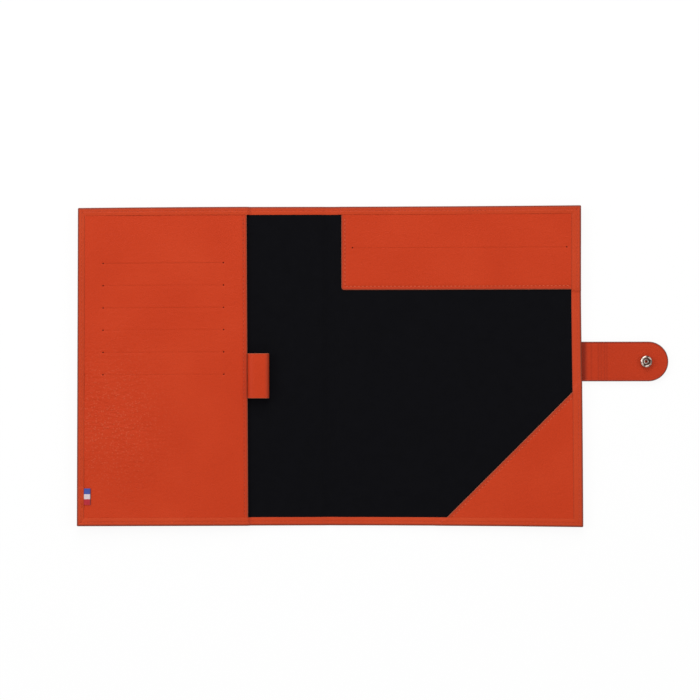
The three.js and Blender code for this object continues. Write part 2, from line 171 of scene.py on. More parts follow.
def lay(flat):
    """Points of the flat layout, in millimetres, to the open folder at rest, in metres."""
    p = np.asarray(flat, float).reshape(-1, 3)
    side = np.where(p[:, 0] < 0, -1.0, 1.0)
    past = np.abs(p[:, 0]) - SPINE_HALF
    rise = np.where(side < 0, TILT[-1], TILT[1]) * smooth((past + FOLD_REACH) / (2 * FOLD_REACH))
    above = p[:, 2] - FOLD_LEVEL
    x = side * (SPINE_HALF + past * np.cos(rise) - above * np.sin(rise))
    z = FOLD_LEVEL + past * np.sin(rise) + above * np.cos(rise)
    return np.stack([x, p[:, 1], z], axis=1) * MM


def lay_cover(flat):
    """The same for what is sewn into the cover, which is a little out of square."""
    p = np.array(flat, float).reshape(-1, 3)
    side = np.where(p[:, 0] < 0, -1, 1)
    out = (np.abs(p[:, 0]) / FORE_X) ** 2
    up = (1 + p[:, 1] / HALF_HEIGHT) / 2
    for axis in (0, 1):
        head = np.where(side < 0, OUT_OF_SQUARE[-1, 1][axis], OUT_OF_SQUARE[1, 1][axis])
        foot = np.where(side < 0, OUT_OF_SQUARE[-1, -1][axis], OUT_OF_SQUARE[1, -1][axis])
        p[:, axis] += out * (head * up + foot * (1 - up))
    depth, middle, spread = DRAWN_IN
    p[:, 0] -= np.where(side > 0, depth * out * np.exp(-((p[:, 1] - middle) / spread) ** 2), 0)
    return lay(p)


# Colours and finishes

def linear(code):
    """An sRGB hex value as linear red, green, blue and alpha."""
    parts = [int(code[i:i + 2], 16) / 255 for i in (1, 3, 5)]
    return [c / 12.92 if c <= 0.04045 else ((c + 0.055) / 1.055) ** 2.4 for c in parts] + [1.0]


def add(tree, kind, links=(), values=(), **settings):
    """A node with its settings; links are (input, output socket) and values are (input, value)."""
    node = tree.nodes.new(kind)
    for key, value in settings.items():
        setattr(node, key, value)
    for key, value in values:
        node.inputs[key].default_value = value
    for key, socket in links:
        tree.links.new(socket, node.inputs[key])
    return node


def finish(name, values):
    """A material and its node tree, with the uniform values set on its Principled shader."""
    made = bpy.data.materials.new(name)
    made.use_nodes = True
    for key, value in values:
        made.node_tree.nodes["Principled BSDF"].inputs[key].default_value = value
    return made, made.node_tree


def joined(made, colour, relief, roughness=None):
    """The material, with a colour, a relief and a roughness joined to its shader."""
    tree = made.node_tree
    for key, socket in (("Base Color", colour), ("Normal", relief), ("Roughness", roughness)):
        if socket:
            tree.links.new(socket, tree.nodes["Principled BSDF"].inputs[key])
    return made


def ramp(tree, fac, stops, steps=False):
    """A colour ramp through (place, hex colour) stops in rising order."""
    node = add(tree, "ShaderNodeValToRGB", [("Fac", fac)])
    node.color_ramp.interpolation = "CONSTANT" if steps else "LINEAR"
    elements = node.color_ramp.elements
    while len(elements) < len(stops):
        elements.new(0.5)
    for element, (at, code) in zip(elements, stops):
        element.position = at
        element.color = linear(code)
    return node.outputs["Color"]


def place(tree):
    """A point's place on the flat layout, in metres, so that a grain stays put when a fold moves."""
    return add(tree, "ShaderNodeAttribute", attribute_name="flat").outputs["Vector"]


def mark(tree, name):
    """A share from 0 to 1 that a mesh holds for each of its points."""
    return add(tree, "ShaderNodeAttribute", attribute_name=name).outputs["Fac"]


def bump(tree, height, depth, strength, over=None):
    """A bump of a depth in millimetres, laid over an earlier one."""
    links = [("Height", height)] + ([("Normal", over)] if over else [])
    values = [("Distance", depth * MM), ("Strength", strength)]
    return add(tree, "ShaderNodeBump", links, values).outputs["Normal"]


def noise(tree, where, size, detail, roughness=0.5):
    """An unevenness in patches about size millimetres across."""
    values = [("Scale", 1 / (size * MM)), ("Detail", detail), ("Roughness", roughness)]
    return add(tree, "ShaderNodeTexNoise", [("Vector", where)], values).outputs["Fac"]


def cells(tree, where, size, randomness, smoothness=0):
    """Cells about size millimetres across, as the distance from the middle of each, or where they have no
    smoothness from its edge."""
    values = [("Scale", 1 / (size * MM)), ("Randomness", randomness)]
    values += [("Smoothness", smoothness)] if smoothness else []
    feature = "SMOOTH_F1" if smoothness else "DISTANCE_TO_EDGE"
    node = add(tree, "ShaderNodeTexVoronoi", [("Vector", where)], values, feature=feature)
    return node.outputs["Distance"]


def ribs(tree, where, pitch, direction, distortion=0.0):
    """Parallel ridges, pitch millimetres apart."""
    values = [("Scale", math.pi / (10 * pitch * MM)), ("Distortion", distortion), ("Detail", 1)]
    node = add(tree, "ShaderNodeTexWave", [("Vector", where)], values, bands_direction=direction)
    return node.outputs["Fac"]


def spread(tree, value, low, high, to_low=0.0, to_high=1.0):
    """A value from low to high, spread between two others."""
    values = [("From Min", low), ("From Max", high), ("To Min", to_low), ("To Max", to_high)]
    return add(tree, "ShaderNodeMapRange", [("Value", value)], values).outputs["Result"]


def maths(tree, operation, first, second):
    """The sum, product or greater of two values."""
    return add(tree, "ShaderNodeMath", [(0, first), (1, second)], operation=operation).outputs["Value"]


def overlaid(tree, share, under, code):
    """A colour with a hex colour laid over it by a share."""
    node = add(tree, "ShaderNodeMix", [(0, share), (6, under)], [(7, linear(code))], data_type="RGBA")
    return node.outputs[2]


def pebbled_leather(name, deep, colour, pale, shade_darkening, grain=0.85, pull=0.5):
    """Drum-dyed calf, embossed with a pebble grain: small satin pads between creases darkened as painted
    shade, fine pull wrinkles across the skin, painted highlights on the lumps where it is drawn, and a
    darker tone for edges and for painted shade along lips, creases and the strap's root."""
    made, tree = finish(name, [("Specular IOR Level", 0.16), ("IOR", 1.47)])
    where = place(tree)
    drawn = mark(tree, "drawn")
    pads = cells(tree, where, grain, 0.9, 0.4)
    creases = cells(tree, where, grain, 0.9)
    lumps = cells(tree, where, 1.9, 1.0, 0.3)
    pores = noise(tree, where, 0.24, 3)
    longways = add(tree, "ShaderNodeMapping", [("Vector", where)], [("Scale", (0.4, 1, 1))])
    pulls = noise(tree, longways.outputs["Vector"], 2.4, 3, 0.45)
    slack = spread(tree, noise(tree, where, 70, 1), 0.42, 0.62, 0.1, 0.4)
    wrinkles = maths(tree, "MULTIPLY", pulls, maths(tree, "ADD", slack, drawn))
    # Painted highlight: the crests of the lumps are laid paler in colour where the leather is drawn
    lump_highlights = maths(tree, "MULTIPLY", spread(tree, lumps, 0.4, 0.1, 0, 0.55), drawn)
    dyed = ramp(tree, noise(tree, where, 45, 3), [(0.3, deep), (0.5, colour), (0.7, pale)])
    # Painted shade: the grain's creases are darkened in colour
    crease_shaded = add(tree, "ShaderNodeMix", [(6, dyed), (7, spread(tree, creases, 0, 0.1, 0.88))], [(0, 1.0)],
                data_type="RGBA", blend_type="MULTIPLY")
    # This share darkens the leather at edges, and as painted shade along hem lips, strap creases, the
    # strap's root and the pen loop's end
    rubbed = overlaid(tree, mark(tree, "rubbed"), crease_shaded.outputs[2], shade_darkening)
    relief = bump(tree, wrinkles, pull, 1.0)
    relief = bump(tree, lump_highlights, 0.25, 0.8, relief)
    relief = bump(tree, pads, 0.24, 0.8, relief)
    relief = bump(tree, pores, 0.03, 0.5, relief)
    satin = spread(tree, pores, 0.3, 0.7, 0.44, 0.6)
    return joined(made, overlaid(tree, lump_highlights, rubbed, "#cf5c3c"), relief, satin)


def cut_leather(name, dark, light, roughness):
    """The cut edge of a ply: its paler fibres show in fine runs along the edge."""
    made, tree = finish(name, [("Specular IOR Level", 0.2), ("Roughness", roughness)])
    fibres = noise(tree, place(tree), 0.6, 4)
    tone = ramp(tree, fibres, [(0.35, dark), (0.65, light)])
    return joined(made, tone, bump(tree, fibres, 0.06, 0.6))


def woven_cotton(name, dark, light, yarn=0.42):
    """Plain-woven cotton, piece-dyed black: matt, its yarns only just seen, with a few slubs."""
    made, tree = finish(name, [("Specular IOR Level", 0.06), ("Roughness", 0.95)])
    where = place(tree)
    weave = maths(tree, "MULTIPLY", ribs(tree, where, yarn, "X", 0.6), ribs(tree, where, yarn, "Y", 0.6))
    tone = maths(tree, "MULTIPLY", weave, noise(tree, where, 7, 5))
    black = ramp(tree, tone, [(0.05, dark), (0.5, light)])
    return joined(made, black, bump(tree, weave, 0.08, 0.5))


def waxed_thread(name, clear, hole_shade_colour):
    """Waxed polyester thread, close to the leather's colour, with painted shade where it dives into its
    holes.
    """
    made, tree = finish(name, [("Specular IOR Level", 0.3), ("Roughness", 0.5)])
    colour = ramp(tree, mark(tree, "dive"), [(0.15, clear), (0.75, hole_shade_colour)])
    twist = ribs(tree, place(tree), 0.5, "DIAGONAL")
    return joined(made, colour, bump(tree, twist, 0.06, 0.6))


def striped_ribbon():
    """Woven polyester ribbon in three bands, ribbed across, with a silky gloss and painted shade at its
    fold.
    """
    made, tree = finish("woven_polyester_ribbon",
                        [("Specular IOR Level", 0.3), ("Roughness", 0.55), ("Sheen Weight", 0.2)])
    where = place(tree)
    parts = add(tree, "ShaderNodeSeparateXYZ", [("Vector", where)])
    low, high = (RIBBON_Y - RIBBON_HALF) * MM, (RIBBON_Y + RIBBON_HALF) * MM
    across = spread(tree, parts.outputs["Y"], low, high)
    bands = ramp(tree, across, [(0.0, "#ae1a2a"), (0.35, "#d6c6cb"), (0.655, "#3a4a98")], steps=True)
    # Painted shade at the fold, a dark red laid over the bands
    fold_shaded = overlaid(tree, mark(tree, "fold"), bands, "#5c1a20")
    return joined(made, fold_shaded, bump(tree, ribs(tree, where, 0.4, "X"), 0.06, 0.7))


def nickel_plate(name, dull, bright):
    """Nickel plate over pressed brass: faintly warm, dull in patches where it is handled, finely marked."""
    made, tree = finish(name, [("Metallic", 1.0)])
    where = add(tree, "ShaderNodeTexCoord").outputs["Object"]
    patches = ramp(tree, noise(tree, where, 2.6, 2), [(0.4, dull), (0.6, bright)])
    marks = spread(tree, noise(tree, where, 0.5, 4), 0, 1, 0.1, 0.24)
    return joined(made, patches, None, marks)


def grey_board():
    """Pressed grey board: dull and flecked with fibre."""
    made, tree = finish("pressed_grey_board", [("Specular IOR Level", 0.15), ("Roughness", 0.92)])
    fibre = noise(tree, add(tree, "ShaderNodeTexCoord").outputs["Object"], 0.8, 5)
    flecks = ramp(tree, fibre, [(0.3, "#7f7464"), (0.7, "#a89b86")])
    return joined(made, flecks, bump(tree, fibre, 0.05, 0.5))


# The leathers take three tones of the dye, which vary at random in patches, and a darker tone for their
# edges and for painted shade
cover_leather = pebbled_leather("calf_leather_cover", "#c03e1a", "#c4401c", "#c8441f", "#7e3524")
panel_leather = pebbled_leather("calf_leather_panel", "#c13814", "#c43a16", "#c73d19", "#963620", pull=0.6)
strap_leather = pebbled_leather("calf_leather_strap", "#b83412", "#bb3614", "#be3a18", "#862410",
                                grain=0.75)
cut_edge = cut_leather("cut_leather_edge", "#9c4f36", "#b8674c", 0.75)
edge_paint = cut_leather("painted_leather_edge", "#5a3a34", "#7a564c", 0.45)
lining_cotton = woven_cotton("black_cotton_lining", "#08080b", "#101014")
pocket_cotton = woven_cotton("black_pocket_cloth", "#0c0c10", "#16161a", yarn=0.35)
# Each thread's darker second colour is painted shade where it dives into its holes
panel_thread = waxed_thread("waxed_thread_bright", "#d65c38", "#83260f")
hem_thread = waxed_thread("waxed_thread_matched", "#c04222", "#9c3216")
ribbon_weave = striped_ribbon()
nickel = nickel_plate("nickel_plate", "#5c4c45", "#c9bab0")
# The darker nickel is painted shade inside the socket's well and round the cap's post
nickel_shaded_well = nickel_plate("nickel_plate_shaded_well", "#2c1d19", "#6e5248")
board = grey_board()
panel_finishes = [panel_leather, cut_edge]


# Meshes

def put(name, data):
    """An object of its own in the scene."""
    made = bpy.data.objects.new(name, data)
    bpy.context.scene.collection.objects.link(made)
    return made


def piece(name, points, faces, finishes, marks=None, laid=lay_cover, **shares):
    """A welded, smooth-shaded mesh from points of the flat layout. marks gives each face's finish, and
    each share is a value from 0 to 1 for every point, which the finishes read by its name."""
    flat = np.asarray(points, float).reshape(-1, 3)
    data = bpy.data.meshes.new(name)
    data.from_pydata(laid(flat).tolist(), [], [tuple(map(int, face)) for face in faces])
    data.attributes.new("flat", "FLOAT_VECTOR", "POINT").data.foreach_set("vector", (flat * MM).ravel())
    for key, values in shares.items():
        share = data.attributes.new(key, "FLOAT", "POINT")
        share.data.foreach_set("value", np.asarray(values, float).ravel())
    for one in finishes:
        data.materials.append(one)
    if marks is not None:
        data.polygons.foreach_set("material_index", [int(m) for m in marks])
    mesh = bmesh.new()
    mesh.from_mesh(data)
    bmesh.ops.remove_doubles(mesh, verts=mesh.verts, dist=0.004 * MM)
    bmesh.ops.dissolve_degenerate(mesh, edges=mesh.edges, dist=0.002 * MM)
    bmesh.ops.recalc_face_normals(mesh, faces=mesh.faces)
    mesh.to_mesh(data)
    mesh.free()
    data.polygons.foreach_set("use_smooth", [True] * len(data.polygons))
    data.set_sharp_from_angle(angle=math.radians(50))
    return put(name, data)


def belongs(made, body, slot, *nodes):
    """Rides a piece on its body and hides the CAD nodes that it stands for. slot is not used."""
    if body:
        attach(made, body)
    if nodes:
        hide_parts(*nodes)


def at_fold(made):
    """Bakes the placing of a piece into its mesh, where it runs between the spine and one half, before it
    comes to the board's edge.
    """
    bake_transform(made)


def loft(rings, closed=False):
    """Points and faces between rings that have the same number of points."""
    count = len(rings[0])
    faces = []
    for r in range(len(rings) - 1):
        for k in range(count if closed else count - 1):
            a, b = r * count + k, r * count + (k + 1) % count
            faces.append((a, b, b + count, a + count))
    return np.concatenate(rings), faces


def arc(centre, radius, start, end, steps=6):
    """Points of a circle's arc, angles in degrees."""
    angles = np.radians(np.linspace(start, end, steps))
    return [(centre[0] + radius * math.cos(a), centre[1] + radius * math.sin(a)) for a in angles]


def dimple(distance, width, depth):
    """The fall of a soft dent, by the distance from its middle."""
    return -depth * np.exp(-((distance / width) ** 2))


def swell(x, y, seed, size, height):
    """A slow unevenness, as of glued leather."""
    random = np.random.default_rng(seed)
    total = np.zeros(np.broadcast(x, y).shape)
    for _ in range(7):
        angle, phase = random.uniform(0, math.pi), random.uniform(0, 2 * math.pi)
        step = size * random.uniform(0.6, 1.8)
        total += np.sin((x * math.cos(angle) + y * math.sin(angle)) * 2 * math.pi / step + phase)
    return total * height / 7


# Cover

# Lines of the cover's meshes: close by the edges, the folds and the edges of what the hem is turned over
CROWD = np.array([14, 9.5, 6.3, 4.2, 2.7, 1.6, 0.8, 0.35])
NEAR_FOLD = np.concatenate([[0, 1.5], np.linspace(3, 12, 19), [14]])
HEM_STEPS = {-1: -PANEL_EDGE_X - np.linspace(0, 4, 8), 1: np.linspace(76, 88, 7)}
ALONG_X = {side: np.unique(np.concatenate([NEAR_FOLD, np.arange(18, 158, 5), HEM_STEPS[side]]))
           for side in (-1, 1)}
BY_RIBBON = RIBBON_Y + np.outer([-1, 1], RIBBON_HALF + np.array([-0.4, 0, 0.4, 0.8, 1.3])).ravel()
ALONG_Y = np.unique(np.concatenate([np.arange(-95, 101, 5), np.linspace(-22, -8, 8),
                                    np.linspace(52, 57, 6), BY_RIBBON]))


def stretch(low, high, places, crowd_low=True):
    """Places from low to high, with more of them near the ends."""
    scale = min(1, (high - low) / 40)
    start = low + CROWD[::-1] * scale if crowd_low else np.array([])
    end = high - CROWD * scale
    inner = np.clip(places, start[-1] if crowd_low else low, end[0])
    return np.concatenate([start, inner, end])


def hem_path(side, insets):
    """The U from the middle of the spine round three edges of a half, set in from each."""
    fore, top, bottom = insets
    radius = max(CORNER - min(insets), 0)
    end = FORE_X - fore - radius
    high, low = HALF_HEIGHT - top, bottom - HALF_HEIGHT
    along = stretch(0, end, ALONG_X[side], crowd_low=False)
    down = stretch(low + radius, high - radius, ALONG_Y)[::-1]
    path = [(x, high) for x in along] + arc((end, high - radius), radius, 90, 0, 7)
    path += [(end + radius, y) for y in down]
    path += arc((end, low + radius), radius, 0, -90, 7) + [(x, low) for x in along[::-1]]
    return np.array(path) * (side, 1)


def lining_top(x):
    """The level of the lining, which comes down to the spine between the boards."""
    return SPINE_TOP + (LINING_TOP - SPINE_TOP) * smooth((np.abs(x) - 0.6) / 6.6)


def under_hem(x, y):
    """The level of the layers that the hem is turned down on. It comes down past a panel's edge."""
    card = smooth((PANEL_EDGE_X + 3.4 - x) / 3.2)
    pad = smooth((x - PAD_X + 2.2) / 2) * smooth((y - PAD_Y + 2.2) / 2)
    corner = smooth((x - y - CORNER_LINE + 3) / 2.8)
    ribbon = smooth(RIBBON_HALF + 1.2 - np.abs(y - RIBBON_Y)) * smooth((x + FORE_X - 0.8) / 0.8)
    lift = np.where(x < 0, (CARD_LAYERS + PANEL + SEAM_GAP) * card + 0.4 * ribbon * smooth((-x - 160) / 10),
                    (PANEL + SEAM_GAP) * np.maximum(pad, corner))
    return lining_top(x) + lift


def edge_darkening(inset):
    """How much darker a turned edge is, from its outline in."""
    return float(smooth((DARKER_REACH - inset) / 1.6))


def edge_radius(top):
    """The radius of the turned edge, less where the cover is thin."""
    return np.minimum(EDGE_ROUND, top / 2 - 0.02)


def cover_half(side, body, *nodes):
    """The turned leather of one half, from the middle of the spine: sheet, edge, hem and mitred corners."""
    rings, rubbed = [], []

    def ring(insets, level, rub=0.0, seam=0.0):
        """A run round the half. level works from the top of the hem; the next value is how much darker the
        leather is, at the turned edge and, as painted shade, along the hem's lip; and seam lays painted
        shade by the fore hem's edge."""
        path = hem_path(side, (insets,) * 3 if np.isscalar(insets) else insets)
        x, y = path.T
        top = under_hem(x, y) + HEM + swell(x, y, 4, 30, 0.08)
        z = level(top) + np.zeros(len(path))
        if np.max(insets) < MITRE_REACH:
            from_fore, from_end = FORE_X - np.abs(x), HALF_HEIGHT - np.abs(y)
            mitre = dimple(np.abs(from_fore - from_end), 0.6, 0.22)
            z = z + mitre * (from_fore < MITRE_REACH) * (z > top / 2)
        rings.append(np.column_stack([path, z]))
        rubbed.append(np.where(np.abs(x) > FORE_X - FORE_HEM[side] - 0.05, np.maximum(seam, rub), rub))

    def hem_inset(back):
        return (FORE_HEM[side] - back, TOP_HEM - back, BOTTOM_HEM - back)

    for inset in (HALF_HEIGHT, 92, 66, 40, 22, 12, 7, 5):
        ring(inset, lambda top: 0)
    for inset in np.linspace(HEM_SEAM + SEAM_REACH, HEM_SEAM - SEAM_REACH, 9):
        ring(inset, lambda top: -dimple(inset - HEM_SEAM, 0.5, 0.32))
    for angle in np.linspace(0, math.pi / 2, 6):
        inset = EDGE_ROUND * (1 - math.sin(angle))
        ring(inset, lambda top: edge_radius(top) * (1 - math.cos(angle)), rub=edge_darkening(inset))
    for angle in np.linspace(0, math.pi / 2, 9):
        inset = EDGE_ROUND * (1 - math.cos(angle))
        ring(inset, lambda top: top - edge_radius(top) * (1 - math.sin(angle)), rub=edge_darkening(inset))
    for inset in np.linspace(HEM_SEAM - SEAM_REACH, HEM_SEAM + SEAM_REACH, 9):
        ring(inset, lambda top: top + dimple(inset - HEM_SEAM, 0.55, 0.2))
    # Painted shade: the hem's face is darkened towards its lip, most along the fore hem
    for back, drop in HEM_FALL:
        ring(hem_inset(back), lambda top: top - drop, seam=0.3 * float(smooth((0.9 - back) / 0.7)))
    for back, drop in HEM_LIP:
        ring(hem_inset(back), lambda top: top - drop, rub=0.1, seam=0.4)
    ring(hem_inset(1.0), lambda top: top - HEM + 0.01)
    ring(LEATHER, lambda top: top - HEM)
    ring(LEATHER, lambda top: LEATHER)
    for inset in (7, 40, HALF_HEIGHT):
        ring(inset, lambda top: LEATHER)
    points, faces = loft(rings)
    name = "front_leather" if side < 0 else "back_leather"
    made = piece(name, points, faces, [cover_leather], rubbed=np.concatenate(rubbed))
    at_fold(made)
    belongs(made, None, "cover_leather", *nodes)


def shell(name, grid, finishes, lower, keep=None, edge=None, drawn=0.0):
    """A closed solid between a grid of points (rows, columns, 3) and a lower face, less the cells not kept.
    edge gives each point's distance from a cut edge, where the second finish shows and the leather darkens
    towards it, and drawn the share to which the leather is drawn into lumps, which also carry painted
    highlights."""
    rows, columns, _ = grid.shape
    flat = grid.reshape(-1, 3)
    count = len(flat)
    kept = [(i, j) for i in range(rows - 1) for j in range(columns - 1) if keep is None or keep[i, j]]
    upper = [(i * columns + j, i * columns + j + 1, (i + 1) * columns + j + 1, (i + 1) * columns + j)
             for i, j in kept]
    sides = {(a, b) for face in upper for a, b in zip(face, face[1:] + face[:1])}
    border = [(a, b) for a, b in sides if (b, a) not in sides]
    under = flat.copy()
    under[:, 2] = np.ravel(lower)
    faces = upper + [tuple(v + count for v in face[::-1]) for face in upper]
    faces += [(b, a, a + count, b + count) for a, b in border]
    if edge is None:
        return piece(name, np.concatenate([flat, under]), faces, finishes)
    edge = np.asarray(edge).ravel()
    near = edge < CUT_SHOWS
    marks = [int(near[list(face)].all()) for face in upper] + [0] * len(upper) + [1] * len(border)
    # The leather is darker towards its cut edge
    rubbed = 0.75 * smooth((DARKER_REACH - edge) / 1.7)
    drawn = np.broadcast_to(drawn, grid.shape[:2]).ravel()
    return piece(name, np.concatenate([flat, under]), faces, finishes, marks,
                 rubbed=np.tile(rubbed, 2), drawn=np.tile(drawn, 2))


def panel_face(x, y, level, distance, seed, size):
    """The level of a panel's face: rounded off at its cut edge, drawn down along its seam, and uneven."""
    near = np.clip(CUT_ROUND - distance, 0, CUT_ROUND)
    fall = CUT_ROUND - np.sqrt(np.maximum(CUT_ROUND ** 2 - near ** 2, 0))
    face = level + PANEL - fall + dimple(distance - PANEL_SEAM, 0.6, 0.24)
    return face + swell(x, y, seed, size, 0.2) * smooth(distance / 9)


def lining_half(side, body, *nodes):
    """Half of the lining cloth, from the middle of the spine, glued down over board and fold."""
    xs = np.concatenate([NEAR_FOLD, np.linspace(NEAR_FOLD[-1], FORE_X - LAYER_INSET, 58)[1:]]) * side
    ys = np.linspace(LAYER_INSET - HALF_HEIGHT, HALF_HEIGHT - LAYER_INSET, 91)
    x, y = np.meshgrid(xs, ys)
    level = lining_top(x) - SEAM_GAP
    name = "front_lining_cloth" if side < 0 else "back_lining_cloth"
    made = shell(name, np.dstack([x, y, level]), [lining_cotton], level - LINING_CLOTH)
    at_fold(made)
    belongs(made, None, "lining_cloth", *nodes)


# Panels and pockets

EDGE_STEPS = (0, 0.25, 0.5, 0.8, 1.2, 1.7, 2.2, 2.6, 3.0, 3.4)


def lines(low, high, step, edges=(), slits=()):
    """Grid lines from low to high, closer by cut edges, and by slits or their ends (place, gap)."""
    close = [low, high]
    for at in edges:
        close += [at + s * d for s in (-1, 1) for d in EDGE_STEPS]
    for at, gap in slits:
        close += [at + s * d for s in (-1, 1) for d in (gap / 2, HOLE, 0.8, 1.5)]
        close += [at] if gap == 0 else []
    close = sorted(set(round(c, 4) for c in close if low <= c <= high))
    spaced = np.linspace(low, high, int((high - low) / step) + 2)
    kept = [v for v in spaced if min(abs(v - c) for c in close) > 0.4 * step]
    return np.array(sorted(close + kept))


def round_corner(x, y, corner, radius):
    """Draws the points of a grid in to a rounded corner, at its lower left."""
    u = np.clip((corner[0] + radius - x) / radius, 0, 1)
    v = np.clip((corner[1] + radius - y) / radius, 0, 1)
    inside = (u > 0) & (v > 0)
    pull = np.where(inside, np.maximum(u, v) / np.maximum(np.hypot(u, v), 1e-9), 1)
    x = np.where(inside, corner[0] + radius - u * pull * radius, x)
    y = np.where(inside, corner[1] + radius - v * pull * radius, y)
    return x, y


def slit_relief(x, y, slits):
    """The lips of each slit: the upper one lies a little proud, and both fall towards the end holes."""
    total = np.zeros(x.shape)
    for left, length, at, gap in slits:
        inside = smooth((x - left + 1) / 6) * smooth((left + length + 1 - x) / 6)
        above = y - at
        lip = 0.06 * np.exp(-((above - 0.9) / 0.9) ** 2) - 0.07 * np.exp(-((above + 0.3) / 0.7) ** 2)
        hole = np.minimum(np.hypot(x - left, above), np.hypot(x - left - length, above))
        total += inside * lip + dimple(hole, 0.9, 0.35)
    return total


def slit_sheet(x_range, y_range, level, slits, free, seed, shape=None):
    """The grid of a leather panel's face, which of its cells are kept, and its distance from the cut edges.
    Its slits are cut through, with a punched hole at each end. free is its cut edges, as lines of x and
    of y, and the distance from them."""
    ends = [(e, 0) for left, length, _, _ in slits for e in (left, left + length)]
    xs = lines(*x_range, 1.3, free["x"], ends)
    ys = lines(*y_range, 1.3, free["y"], [(at, gap) for _, _, at, gap in slits])
    x, y = np.meshgrid(xs, ys)
    mid_x, mid_y = np.meshgrid((xs[1:] + xs[:-1]) / 2, (ys[1:] + ys[:-1]) / 2)
    keep = np.ones(mid_x.shape, bool)
    for left, length, at, gap in slits:
        keep &= ~((np.abs(mid_y - at) < gap / 2) & (mid_x > left) & (mid_x < left + length))
        for end in (left, left + length):
            keep &= ~((np.abs(mid_x - end) < HOLE) & (np.abs(mid_y - at) < HOLE))
            corner = (np.abs(np.abs(x - end) - HOLE) < 0.01) & (np.abs(np.abs(y - at) - HOLE) < 0.01)
            x = np.where(corner, end + (x - end) * 0.72, x)
            y = np.where(corner, at + (y - at) * 0.72, y)
    if shape:
        x, y = shape(x, y)
    distance = free["distance"](x, y)
    top = panel_face(x, y, level, distance, seed, 46) + slit_relief(x, y, slits)
    return x, y, top, keep, distance


def card_lean(x, y):
    """The card panel's free edge was cut a little out of true."""
    down = (1 - y / HALF_HEIGHT) / 2
    return x + PANEL_LEAN * down * np.clip((x + FORE_X) / (PANEL_EDGE_X + FORE_X), 0, 1)


def card_panel():
    """The panel on the left half, with six slits for cards. It is drawn into lumps towards its foot, which
    carry painted highlights.
    """
    slits = [(SLIT_LEFT, SLIT_LENGTH, SLIT_TOP - i * SLIT_PITCH, gap) for i, gap in enumerate(SLIT_GAPS)]
    free = {"x": [PANEL_EDGE_X], "y": [], "distance": lambda x, y: PANEL_EDGE_X - x}
    reach = HALF_HEIGHT - LAYER_INSET
    x, y, top, keep, distance = slit_sheet(
        (LAYER_INSET - FORE_X, PANEL_EDGE_X), (-reach, reach), CARD_BASE, slits, free, seed=3)
    # Where the panel is drawn, its lumps also take painted highlights
    drawn = np.exp(-((x + 160) / 38) ** 2 - ((y + 40) / 46) ** 2)
    made = shell("card_panel_leather", np.dstack([card_lean(x, y), y, top]), panel_finishes, CARD_BASE,
                 keep, distance, drawn)
    belongs(made, "front_cover", "panel_leather", "card_panel")


def pad_pocket():
    """The pocket at the head of the right half, with one long slit for a pad's back."""
    def from_edge(x, y):
        u, v = PAD_X + PAD_CORNER - x, PAD_Y + PAD_CORNER - y
        return np.where((u > 0) & (v > 0), PAD_CORNER - np.hypot(u, v), np.minimum(x - PAD_X, y - PAD_Y))

    free = {"x": [PAD_X], "y": [PAD_Y], "distance": from_edge}
    x, y, top, keep, distance = slit_sheet(
        (PAD_X, FORE_X - LAYER_INSET), (PAD_Y, HALF_HEIGHT - LAYER_INSET), LINING_TOP, [PAD_SLIT], free,
        seed=8, shape=lambda x, y: round_corner(x, y, (PAD_X, PAD_Y), PAD_CORNER))
    made = shell("pad_pocket_leather", np.dstack([x, y, top]), panel_finishes, LINING_TOP, keep, distance)
    belongs(made, "back_cover", "panel_leather", "pad_pocket")


def corner_pocket():
    """A triangle made in rows along its long cut edge."""
    right, foot = FORE_X - LAYER_INSET, LAYER_INSET - HALF_HEIGHT
    apex = np.array([right, foot])
    ends = np.array([right, right - CORNER_LINE]), np.array([foot + CORNER_LINE, foot])
    depth = abs(right - foot - CORNER_LINE) / math.sqrt(2)
    rows = []
    for share in np.minimum(lines(0, depth, 1.5, [0.0]) / depth, 0.995):
        start, end = (e + (apex - e) * share for e in ends)
        rows.append([start + (end - start) * t for t in np.linspace(0, 1, 110)])
    rows = np.array(rows)
    x, y = rows[:, :, 0], rows[:, :, 1]
    distance = (x - y - CORNER_LINE) / math.sqrt(2)
    top = panel_face(x, y, LINING_TOP, distance, 12, 40)
    made = shell("corner_pocket_leather", np.dstack([rows, top]), panel_finishes, LINING_TOP, edge=distance)
    belongs(made, "back_cover", "panel_leather", "corner_pocket")


def section_run(name, section, ys, finishes, laid=lay_cover, **shares):
    """A closed section of (x, z) points, run along y and closed at both ends, where the last finish shows.
    Each share has one value for every point of the section."""
    points, faces = loft([np.array([(x, y, z) for x, z in section]) for y in ys], closed=True)
    count = len(section)
    marks = [0] * len(faces) + [len(finishes) - 1] * 2
    shares = {key: np.tile(values, len(ys)) for key, values in shares.items()}
    faces.append(tuple(range(count))[::-1])
    faces.append(tuple(range((len(ys) - 1) * count, len(ys) * count)))
    return piece(name, points, faces, finishes, marks, laid, **shares)


